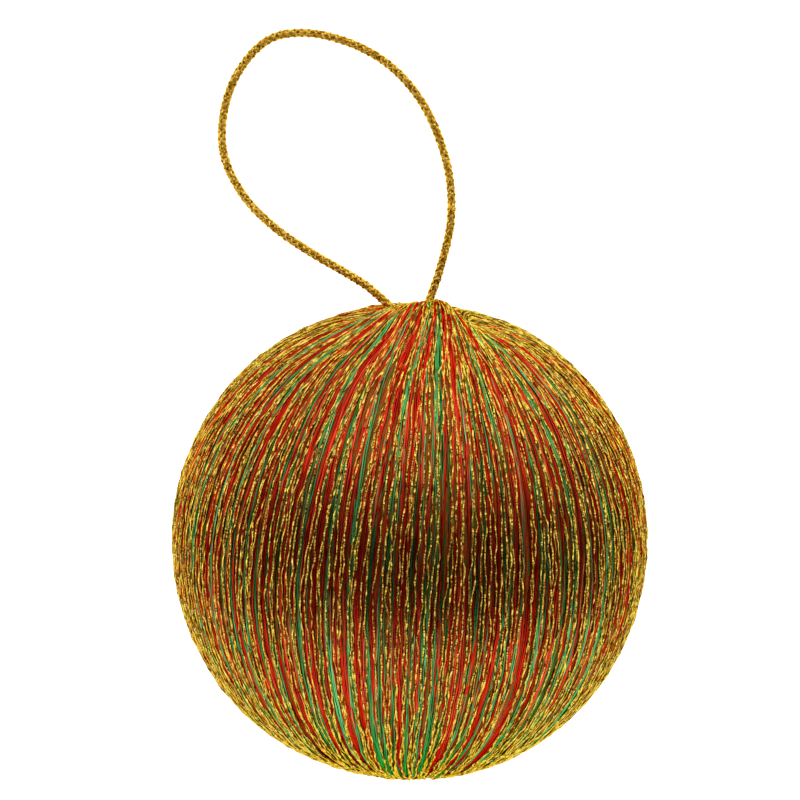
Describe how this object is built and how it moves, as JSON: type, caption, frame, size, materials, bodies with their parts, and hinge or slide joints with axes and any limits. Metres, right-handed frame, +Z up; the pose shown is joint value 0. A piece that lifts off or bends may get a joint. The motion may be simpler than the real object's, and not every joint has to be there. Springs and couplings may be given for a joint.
{
  "type": "christmas bauble",
  "caption": "Round hanging bauble wound all over with fine red, green and gold thread, with a loop of round braided gold cord.",
  "frame": {"origin": "the inner top of the cord loop, where a hook or a twig holds it", "axes": "+Z up along the axis that the thread is wound about, from the bottom hole to the top hole, and along the mount; -Y is the side that the picture shows; the loop leans towards -X as in the picture, so the ball's own axis runs beside the origin, at x = 21 mm and y = -2 mm"},
  "size_m": [0.0756, 0.0756, 0.1164],
  "materials": {
    "wound_thread": "satin and lurex thread, wound side by side from pole to pole",
    "gold_braid": "round braid of bright gold lurex yarn"
  },
  "bodies": {
    "root": {"wound_ball": "wound_thread", "hanging_cord": "gold_braid"}
  },
  "joints": []
}
